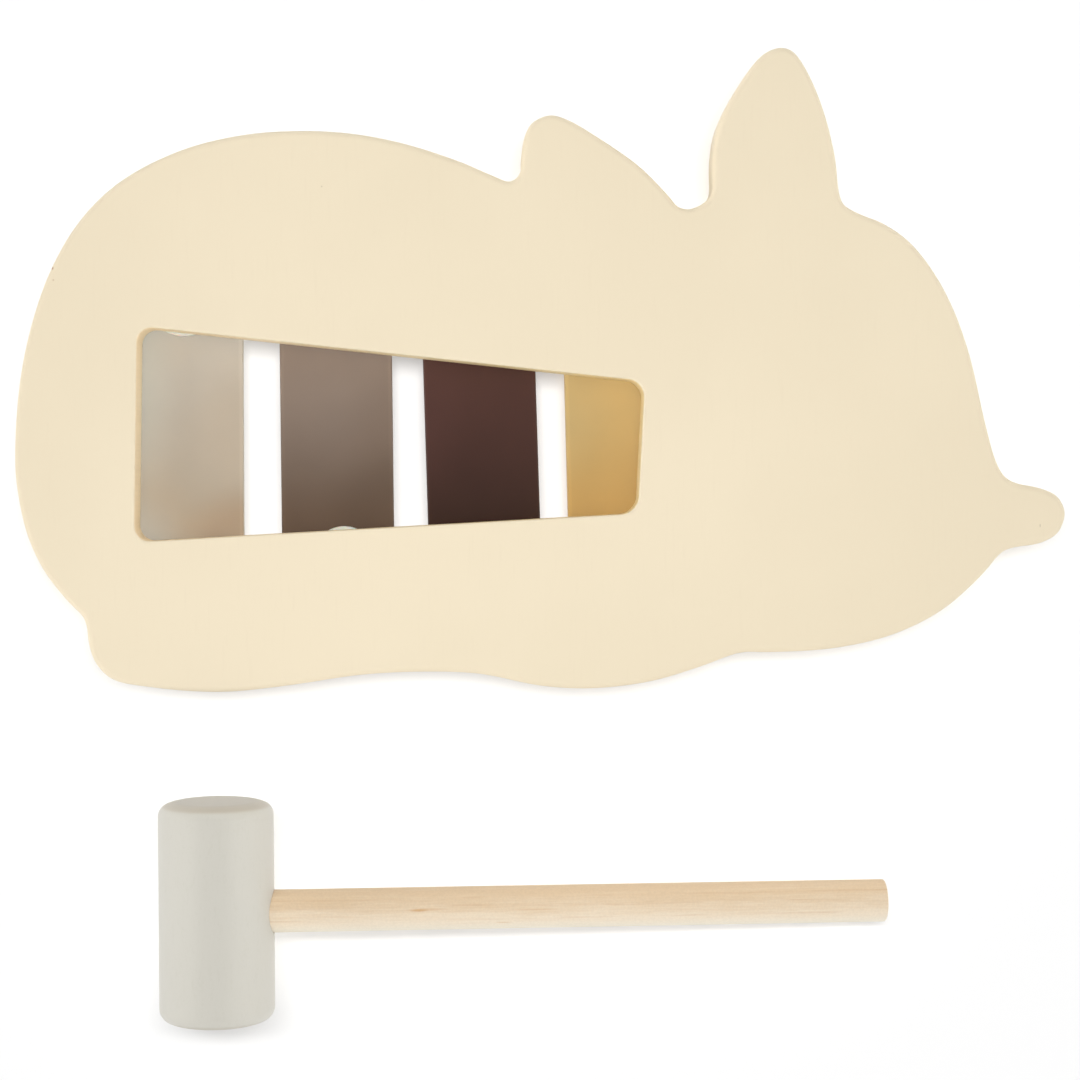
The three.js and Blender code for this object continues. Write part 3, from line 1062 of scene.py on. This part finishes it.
@dataclass
class BaseBoard:
    """The lacquered board with its routed slot and the screws' pilot holes."""

    node: Object
    screws: Sequence[str]
    finish: CreamLacquer = CreamLacquer()
    wall_finish: RoutedWall = RoutedWall()
    section_share: float = 0.78
    outline_steps: int = 3
    rim_radius: float = 1.6 * MM
    rim_steps: int = 8
    slot_corner_radius: float = 4.6 * MM
    slot_corner_steps: int = 12
    slot_rim_radius: float = 0.6 * MM
    slot_rim_steps: int = 4
    hold_width: float = 0.3 * MM
    pilot_radius: float = 1.8 * MM
    pilot_depth: float = 8.3 * MM
    pilot_steps: int = 32

    def slab(self, loop: Loop, low: float, high: float) -> Object:
        """The board without slot or holes.

        Args:
            loop: Its outline.
            low: The height of its front face.
            high: The height of its back face.

        Returns:
            The slab, with rounded rims.
        """
        bm = smooth_face(loop, self.outline_steps)
        bmesh.ops.translate(bm, verts=bm.verts, vec=UP * (low - loop[0].z))
        bm.faces.ensure_lookup_table()
        raise_face(bm, bm.faces[0], high - low)
        bevel(bm, steep_rims(bm), "EDGES", self.rim_radius, self.rim_steps)
        return mesh_object(bm, "lacquered_board")

    def mark_walls(self, bm: BMesh, corners: Loop) -> None:
        """Gives the slot's walls the second material.

        Args:
            bm: The board.
            corners: The slot's sharp corners.
        """
        margin = self.slot_rim_radius / 2
        for face in bm.faces:
            steep = abs(face.normal.z) < math.cos(STEEP)
            if steep and within(corners, face.calc_center_median(), margin):
                face.material_index = 1

    def build(self) -> None:
        """Builds the board and puts it in the frame."""
        first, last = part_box(self.node.name)
        height = first.z + (last.z - first.z) * self.section_share
        outline, slot_loop = section_loops(self.node, height)[:2]
        corners = four_corners(slot_loop)
        board = self.slab(outline, first.z, last.z)
        low, high = first.z - OVERRUN, last.z + OVERRUN
        plug = rounded_plate(corners, self.slot_corner_radius, low, high, self.slot_corner_steps)
        combine(board, [mesh_object(plug, "cutter")], "DIFFERENCE")
        bm = bmesh.new()
        bm.from_mesh(board.data)
        bevel(bm, steep_rims(bm), "EDGES", self.slot_rim_radius, self.slot_rim_steps)
        self.mark_walls(bm, corners)
        inset(bm, level_faces(bm), self.hold_width)
        bm.to_mesh(board.data)
        bm.free()
        sizes = (self.pilot_radius, self.pilot_depth + OVERRUN, self.pilot_steps)
        pilots = [cutter(upright(screw, low), *sizes) for screw in self.screws]
        combine(board, pilots, "DIFFERENCE")
        face = self.finish.material("cream lacquer")
        wall = self.wall_finish.material("cream lacquer in the slot")
        dress(board, self.node.name, Body.INSTRUMENT, Slot.BOARD, face, wall)


@dataclass
class ToneBar:
    """One painted metal bar with its two screw holes."""

    number: int
    node: Object
    screws: Sequence[str]
    slot: Slot
    finish: BarPaint
    corner_radius: float = 4.0 * MM
    corner_steps: int = 10
    rim_radius: float = 0.5 * MM
    rim_steps: int = 5
    # Width of the margin that carries the painted edge highlight
    edge_highlight_width: float = 0.5 * MM
    hold_width: float = 0.4 * MM
    hole_radius: float = 2.0 * MM
    hole_steps: int = 40

    def mark_edge_highlight(self, bm: BMesh) -> None:
        """Marks a narrow margin along the edges of the flats for a painted highlight.

        A second margin inside it holds the flats, and the painted highlight fades out across it.

        Args:
            bm: The bar.
        """
        edge_highlight = bm.verts.layers.float.new(EDGE_HIGHLIGHT)
        flats = level_faces(bm)
        margin = inset(bm, flats, self.edge_highlight_width)
        inset(bm, flats, self.hold_width)
        for vert in {vert for face in margin for vert in face.verts}:
            vert[edge_highlight] = 1

    def build(self) -> None:
        """Builds the bar and puts it in the frame."""
        first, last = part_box(self.node.name)
        outline = section_loops(self.node, (first.z + last.z) / 2)[0]
        corners = four_corners(outline)
        bm = rounded_plate(corners, self.corner_radius, first.z, last.z, self.corner_steps)
        bevel(bm, steep_rims(bm), "EDGES", self.rim_radius, self.rim_steps)
        self.mark_edge_highlight(bm)
        bar = mesh_object(bm, f"painted_bar_{self.number}")
        sizes = (self.hole_radius, last.z - first.z + 2 * OVERRUN, self.hole_steps)
        holes = [cutter(upright(screw, first.z - OVERRUN), *sizes) for screw in self.screws]
        combine(bar, holes, "DIFFERENCE")
        material = self.finish.material(f"satin paint of bar {self.number}", first, last)
        dress(bar, self.node.name, Body.INSTRUMENT, self.slot, material)


@dataclass(frozen=True)
class RingSizes:
    """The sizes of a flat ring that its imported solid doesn't give, and how many steps it has."""

    hole_radius: float
    rounding: float
    steps: int


@dataclass
class Fixings:
    """The soft rings, washers and screws that hold the bars, each kind with its own finish."""

    rubber: Material = field(default_factory=lambda: RUBBER.material("soft rubber"))
    nylon: Material = field(default_factory=lambda: NYLON.material("milky nylon"))
    steel: Material = field(default_factory=lambda: ZincSteel().material("zinc on steel"))
    soft_ring: RingSizes = RingSizes(4.65 * MM, 0.4 * MM, 72)
    washer: RingSizes = RingSizes(1.8 * MM, 0.25 * MM, 56)
    head_radius: float = 3.7 * MM
    head_height: float = 2.4 * MM
    head_rounding: float = 1.7 * MM
    head_hold: float = 1.2 * MM
    shank_radius: float = 1.5 * MM
    core_radius: float = 1.15 * MM
    tip_length: float = 3.0 * MM
    thread_radius: float = 1.7 * MM
    thread_root: float = 0.9 * MM
    thread_half_height: float = 0.3 * MM
    thread_pitch: float = 1.2 * MM
    thread_length: float = 8.0 * MM
    thread_steps: int = 24
    recess_reach: float = 1.9 * MM
    recess_half_width: float = 0.45 * MM
    recess_depth: float = 1.3 * MM
    recess_taper_share: float = 0.6
    turn_between_degrees: float = 137.5
    screw_steps: int = 48

    def ring(self, name: str, node: str, sizes: RingSizes) -> Object:
        """A flat ring with rounded edges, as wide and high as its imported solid.

        Args:
            name: The piece's name.
            node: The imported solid.
            sizes: Its other sizes.

        Returns:
            The ring.
        """
        first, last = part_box(node)
        radius = (last.x - first.x) / 2
        thick = last.z - first.z
        profile = [
            Corner(sizes.hole_radius, 0, sizes.rounding / 3),
            Corner(radius, 0, sizes.rounding),
            Corner(radius, thick, sizes.rounding),
            Corner(sizes.hole_radius, thick, sizes.rounding / 3),
        ]
        return turned(name, upright(node, first.z), profile, sizes.steps)

    def recess_blade(self, turn_degrees: float) -> Object:
        """One of the two tapered blades that cut a cross recess into a head's crown.

        Args:
            turn_degrees: How far it is turned about the screw's axis.

        Returns:
            The cutter.
        """
        bm = bmesh.new()
        size = (2 * self.recess_reach, 2 * self.recess_half_width, 2 * self.recess_depth)
        bmesh.ops.create_cube(bm, size=1, matrix=Matrix.Diagonal((*size, 1)))
        deep = [vert for vert in bm.verts if vert.co.z > 0]
        share = self.recess_taper_share
        bmesh.ops.scale(bm, vec=(share, share, 1), verts=deep)
        turn = Matrix.Rotation(math.radians(turn_degrees), 4, "Z")
        bmesh.ops.transform(bm, matrix=turn, verts=bm.verts)
        return mesh_object(bm, "cutter")

    def thread(self, start: float) -> Object:
        """The ridge that winds round the screw's core.

        Args:
            start: Where it starts, from the crown.

        Returns:
            The ridge, a closed body.
        """
        turns = self.thread_length / self.thread_pitch
        rise = UP * (self.thread_pitch / self.thread_steps)
        bm = bmesh.new()
        low = bm.verts.new((self.thread_root, 0, start - self.thread_half_height))
        crest = bm.verts.new((self.thread_radius, 0, start))
        high = bm.verts.new((self.thread_root, 0, start + self.thread_half_height))
        face = bm.faces.new((low, crest, high))
        bmesh.ops.spin(
            bm,
            geom=[*bm.verts, *bm.edges, face],
            cent=(0, 0, 0),
            axis=UP,
            dvec=rise,
            angle=turns * math.tau,
            steps=round(turns * self.thread_steps),
        )
        return mesh_object(bm, "thread")

    def screw(self, name: str, node: str, turn_degrees: float) -> Object:
        """A pan head screw, crown down.

        Args:
            name: The piece's name.
            node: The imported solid.
            turn_degrees: How far it is turned about its axis.

        Returns:
            The screw.
        """
        first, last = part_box(node)
        length = last.z - first.z
        thread_start = length - self.tip_length / 2 - self.thread_length
        profile = [
            Corner(0, 0),
            Corner(self.head_radius - self.head_rounding - self.head_hold / 2, 0),
            Corner(self.head_radius, 0, self.head_rounding),
            Corner(self.head_radius, self.head_height, self.head_rounding / 10),
            Corner(self.shank_radius, self.head_height),
            Corner(self.shank_radius, thread_start),
            Corner(self.core_radius, thread_start + self.core_radius / 3),
            Corner(self.core_radius, length - self.tip_length),
            Corner(0, length),
        ]
        made = turned(name, Matrix(), profile, self.screw_steps)
        combine(made, [self.thread(thread_start)], "UNION")
        combine(made, [self.recess_blade(degrees) for degrees in (0, 90)], "DIFFERENCE")
        turn = Matrix.Rotation(math.radians(turn_degrees), 4, "Z")
        made.data.transform(upright(node, first.z) @ turn)
        return made

    def build(self, number: int) -> None:
        """Builds what holds one bar at both its ends.

        Args:
            number: The bar's number, from 1.
        """
        for place, end in enumerate(End):
            tail = f"{number}_{end.value}"
            kinds = ("pad", "washer", "screw")
            pad, washer, screw = (f"bar_{number}_{kind}_{end.value}" for kind in kinds)
            turn = (2 * number + place) * self.turn_between_degrees
            ring = self.ring(f"soft_ring_{tail}", pad, self.soft_ring)
            dress(ring, pad, Body.INSTRUMENT, Slot.PAD, self.rubber)
            ring = self.ring(f"milky_washer_{tail}", washer, self.washer)
            dress(ring, washer, Body.INSTRUMENT, Slot.WASHER, self.nylon)
            made = self.screw(f"pan_head_screw_{tail}", screw, turn)
            dress(made, screw, Body.INSTRUMENT, Slot.SCREW, self.steel)


@dataclass
class Mallet:
    """The painted wooden head and the bare handle that is set in it."""

    head_node: Object
    handle_node: Object
    head_finish: HeadPaint = HeadPaint()
    handle_finish: BareWood = BareWood()
    head_radius: float = 16.0 * MM
    head_length: float = 60.5 * MM
    head_crown: float = 0.6 * MM
    head_shoulder_width: float = 3.6 * MM
    head_shoulder_depth: float = 1.8 * MM
    head_rounding: float = 2.0 * MM
    head_steps: int = 128
    head_round_steps: int = 8
    handle_radius: float = 5.9 * MM
    handle_rounding: float = 0.5 * MM
    handle_steps: int = 72
    hold_width: float = 0.4 * MM
    socket_clearance: float = 0.3 * MM

    def handle_ends(self) -> tuple[Vector, Vector]:
        """Finds the two ends of the handle's axis.

        Returns:
            The end in the head and the far end.
        """
        bm = merged_copy(self.handle_node)
        places = [vert.co.copy() for vert in bm.verts]
        bm.free()
        middle = sum(places, Vector()) / len(places)
        ahead = [place - middle for place in places if place.x > middle.x]
        along = sum(ahead, Vector()).normalized()
        half = max((place - middle).dot(along) for place in places)
        return middle - along * half, middle + along * half

    def build(self) -> list[Object]:
        """Builds the head and the handle and puts them in the frame.

        Returns:
            The two pieces.
        """
        start, end = self.handle_ends()
        along = (end - start).normalized()
        across = along.cross(UP).normalized()
        first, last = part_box(self.head_node.name)
        head_place = place_along((first + last) / 2, -across)
        handle_place = place_along(start, along, -across)
        head = self.head(head_place, handle_place)
        paint = self.head_finish.material("warm grey paint", head_place)
        dress(head, self.head_node.name, Body.MALLET, Slot.MALLET_HEAD, paint)
        handle = self.handle(handle_place, (end - start).length)
        wood = self.handle_finish.material("bare light hardwood", handle_place)
        dress(handle, self.handle_node.name, Body.MALLET, Slot.MALLET_HANDLE, wood)
        return [head, handle]

    def head(self, own: Matrix, socket: Matrix) -> Object:
        """The turned head with its blind socket.

        Args:
            own: The head's place, with its middle at the origin and its axis along Z.
            socket: The place of the handle's end in the socket, with the handle along Z.

        Returns:
            The head.
        """
        half = self.head_length / 2
        top = half + self.head_crown
        brim = self.head_radius - self.head_shoulder_width
        held = brim - self.head_rounding - self.hold_width
        profile = [
            Corner(0, -half),
            Corner(held, -half),
            Corner(brim, -half, self.head_rounding),
            Corner(self.head_radius, self.head_shoulder_depth - half, self.head_rounding),
            Corner(self.head_radius, top - self.head_shoulder_depth, self.head_rounding),
            Corner(brim, top, self.head_rounding),
            Corner(held, top),
            Corner(0, top),
        ]
        steps = (self.head_steps, self.head_round_steps)
        made = turned("turned_mallet_head", own, profile, *steps)
        foot = socket @ Matrix.Translation(-UP * self.socket_clearance)
        radius = self.handle_radius + self.socket_clearance
        post = cutter(foot, radius, self.head_radius * 2, self.handle_steps)
        combine(made, [post], "DIFFERENCE")
        return made

    def handle(self, own: Matrix, length: float) -> Object:
        """The round handle.

        Args:
            own: Its place, with its end in the head at the origin and its length along Z.
            length: Its length.

        Returns:
            The handle.
        """
        held = self.handle_radius - self.handle_rounding - self.hold_width
        profile = [
            Corner(0, 0),
            Corner(held, 0),
            Corner(self.handle_radius, 0, self.handle_rounding),
            Corner(self.handle_radius, length, self.handle_rounding),
            Corner(held, length),
            Corner(0, length),
        ]
        return turned("bare_wood_handle", own, profile, self.handle_steps)


def linked_group(name: str, pieces: Iterable[Object], state: str) -> Collection:
    """A group that tells a lamp what it lights or what casts its shadows.

    Args:
        name: The group's name.
        pieces: The objects that it names.
        state: INCLUDE for these objects alone, EXCLUDE for all but them.

    Returns:
        The group.
    """
    group = bpy.data.collections.new(name)
    for piece in pieces:
        group.objects.link(piece)
    for entry in group.collection_objects:
        entry.light_linking.link_state = state
    return group


@dataclass(frozen=True)
class Softbox:
    """One flat lamp that looks at the object's middle."""

    name: str
    azimuth_degrees: float
    tilt_degrees: float
    distance: float
    width: float
    depth: float
    radiance: float
    mirrored: bool = True

    def build(self, target: Vector, lit: Collection, casting: Collection | None = None) -> None:
        """Hangs the lamp.

        Args:
            target: The point that it looks at.
            lit: What it lights.
            casting: What casts its shadows; everything by default.
        """
        azimuth = math.radians(self.azimuth_degrees)
        tilt = math.radians(self.tilt_degrees)
        flat = Vector((math.cos(azimuth), math.sin(azimuth), 0)) * math.sin(tilt)
        towards = flat + UP * math.cos(tilt)
        lamp = bpy.data.lights.new(self.name, "AREA")
        lamp.shape = "RECTANGLE"
        lamp.size = self.width
        lamp.size_y = self.depth
        lamp.energy = self.radiance * math.pi * self.width * self.depth
        made = added(self.name, lamp)
        made.location = target + towards * self.distance
        made.rotation_euler = towards.to_track_quat("Z", "Y").to_euler()
        made.visible_camera = False
        made.visible_glossy = self.mirrored
        made.light_linking.receiver_collection = lit
        made.light_linking.blocker_collection = casting


@dataclass
class Studio:
    """A white floor in a pale room, soft lamps, and the camera straight above the board."""

    board: str
    mallet: Sequence[Object]
    frame_px: float = 1080
    focal_px: float = 2303
    nadir_px: Span = (478, 490)
    sensor_width: float = 36
    camera_right_of_board: float = 127.9 * MM
    camera_above_board_low: float = 55.8 * MM
    camera_height: float = 635 * MM
    floor_size: float = 6.0
    floor_drop: float = 0.1 * MM
    floor_tint: Tint = (230, 230, 230)
    floor_glow: float = 0.014
    floor_glow_tint: Tint = (252, 253, 255)
    room_tint: Tint = (255, 255, 255)
    room_light: float = 0.12
    ceiling_span: Span = (0.6, 0.95)
    ceiling_seen: float = 0.3
    softboxes: tuple[Softbox, ...] = (
        Softbox("key round the camera", 90, 0, 0.645, 0.03, 0.03, 914.0, mirrored=False),
        Softbox("left fill", 180, 79, 1.5, 1.0, 0.36, 7.3, mirrored=False),
        Softbox("right fill", 0, 80, 1.5, 1.0, 0.36, 6.2, mirrored=False),
        Softbox("near fill", 270, 75, 1.5, 1.0, 0.4, 4.6, mirrored=False),
        Softbox("far fill", 90, 72, 1.5, 1.0, 0.4, 2.6, mirrored=False),
        Softbox("left strip", 180, 48, 1.5, 0.9, 0.25, 2.3),
        Softbox("right strip", 0, 48, 1.5, 0.9, 0.25, 1.6),
    )
    board_shadow: Softbox = Softbox("board's floor lamp", 90, 7, 6.0, 4.65, 1.5, 11.6, False)
    mallet_shadow: Softbox = Softbox("mallet's floor lamp", 90, 17.5, 6.0, 4.6, 0.84, 16.9, False)

    def nadir(self) -> Vector:
        """Finds the point straight below the camera.

        Returns:
            The point on the board's back face.
        """
        low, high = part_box(self.board)
        right, up = self.camera_right_of_board, self.camera_above_board_low
        return Vector((low.x + right, low.y + up, high.z))

    def hang_lamps(self, floor: Object) -> None:
        """Hangs the softboxes round the point below the camera.

        The object's lamps are flagged off the floor. The photograph joins two shots, so the floor
        has two lamps of its own: a high one for the board's shadow, a lower one for the mallet's.

        Args:
            floor: The floor.
        """
        target = self.nadir()
        all_but_floor = linked_group("all but the floor", [floor], "EXCLUDE")
        for softbox in self.softboxes:
            softbox.build(target, all_but_floor)
        floor_alone = linked_group("the floor alone", [floor], "INCLUDE")
        all_but_mallet = linked_group("all but the mallet", self.mallet, "EXCLUDE")
        self.board_shadow.build(target, floor_alone, all_but_mallet)
        mallet_alone = linked_group("the mallet alone", self.mallet, "INCLUDE")
        self.mallet_shadow.build(target, floor_alone, mallet_alone)

    def light_room(self) -> None:
        """Makes the pale room: white to look at, with a dimmer ceiling in reflections."""
        world = bpy.data.worlds.new("pale room")
        world.use_nodes = True
        graph = Graph(world.node_tree)
        path = graph.node("ShaderNodeLightPath").outputs
        height = graph.axis(graph.node("ShaderNodeTexCoord").outputs["Generated"], "Z")
        seen_room = graph.spread(height, *self.ceiling_span, 1, self.ceiling_seen)
        light = graph.between(graph.seen(), self.room_light, seen_room)
        strength = graph.between(path["Is Camera Ray"], light, 1.0)
        inputs = {"Color": self.room_tint, "Strength": strength}
        background = graph.node("ShaderNodeBackground", inputs)
        graph.node("ShaderNodeOutputWorld", {"Surface": background.outputs["Background"]})
        bpy.context.scene.world = world

    def lay_floor(self) -> Object:
        """Lays the white floor, which keeps the object's shadow.

        Returns:
            The floor.
        """
        bm = bmesh.new()
        bmesh.ops.create_grid(bm, size=self.floor_size / 2)
        bmesh.ops.translate(bm, verts=bm.verts, vec=-UP * self.floor_drop)
        floor = mesh_object(bm, "floor")
        graph = SurfaceGraph("white floor")
        glow = graph.math("MULTIPLY", graph.seen(), self.floor_glow)
        graph.set_surface(Base_Color=self.floor_tint, Roughness=1.0, Specular_IOR_Level=0.0)
        graph.set_surface(Emission_Color=self.floor_glow_tint, Emission_Strength=glow)
        floor.data.materials.append(graph.material)
        return floor

    def set_camera(self) -> None:
        """Puts the camera where the photograph was taken."""
        camera = bpy.data.cameras.new("camera")
        camera.sensor_width = self.sensor_width
        camera.lens = self.focal_px / self.frame_px * self.sensor_width
        camera.shift_x = (self.frame_px / 2 - self.nadir_px[0]) / self.frame_px
        camera.shift_y = (self.nadir_px[1] - self.frame_px / 2) / self.frame_px
        made = added("camera", camera)
        made.location = self.nadir() + UP * self.camera_height
        bpy.context.scene.camera = made

    def build(self) -> None:
        """Sets everything up around the object."""
        bpy.context.scene.view_settings.view_transform = "Standard"
        self.light_room()
        self.hang_lamps(self.lay_floor())
        self.set_camera()


# Each bar: its tint, its back's painted-sheen and painted-shade tints, and soft patches of painted
# highlight, reflection and shade
BAR_FINISHES = {
    Slot.BAR_GREY_BEIGE: BarPaint(
        (198, 189, 171),
        (202, 194, 181),
        (188, 173, 152),
        (
            SoftSpot((198, 206, 202), (0.0, 0.68), (0.5, 0.45), 0.35),
            SoftSpot((194, 190, 180), (0.05, 0.27), (0.5, 0.13), 0.8),
            SoftSpot((210, 192, 168), (1.0, 0.52), (0.75, 0.2), 0.6),
            SoftSpot((178, 155, 130), (1.0, 0.28), (0.66, 0.13), 0.8, 0.35),
        ),
    ),
    Slot.BAR_TAUPE: BarPaint(
        (142, 126, 112),
        (149, 132, 119),
        (101, 82, 67),
        (
            SoftSpot((118, 98, 82), (1.1, 0.5), (0.7, 0.25), 0.4),
            SoftSpot((86, 68, 54), (1.0, 0.32), (0.8, 0.2), 0.4),
        ),
    ),
    Slot.BAR_DARK_BROWN: BarPaint(
        (84, 57, 49),
        (80, 52, 45),
        (54, 33, 25),
        (SoftSpot((96, 64, 58), (0.0, 0.62), (0.5, 0.3), 0.3),),
    ),
    Slot.BAR_MUSTARD: BarPaint(
        (207, 172, 114),
        (209, 179, 121),
        (199, 161, 98),
        (SoftSpot((208, 182, 128), (0.0, 0.62), (0.5, 0.25), 0.5),),
    ),
}


def screws_of(number: int) -> list[str]:
    """The nodes of one bar's two screws."""
    return [f"bar_{number}_screw_{end.value}" for end in End]


def main() -> None:
    """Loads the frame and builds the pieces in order."""
    logging.basicConfig(level=logging.INFO, format="%(name)s: %(message)s")
    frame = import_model()
    nodes = frame["nodes"]
    bars = dict(enumerate(BAR_FINISHES.items(), 1))
    all_screws = [screw for number in bars for screw in screws_of(number)]
    BaseBoard(nodes["base_board"], all_screws).build()
    fixings = Fixings()
    for number, (slot, finish) in bars.items():
        node = nodes[f"tone_bar_{number}"]
        ToneBar(number, node, screws_of(number), slot, finish).build()
        fixings.build(number)
    mallet = Mallet(nodes["mallet_head"], nodes["mallet_handle"]).build()
    Studio("base_board", mallet).build()


if __name__ == "__main__":
    main()
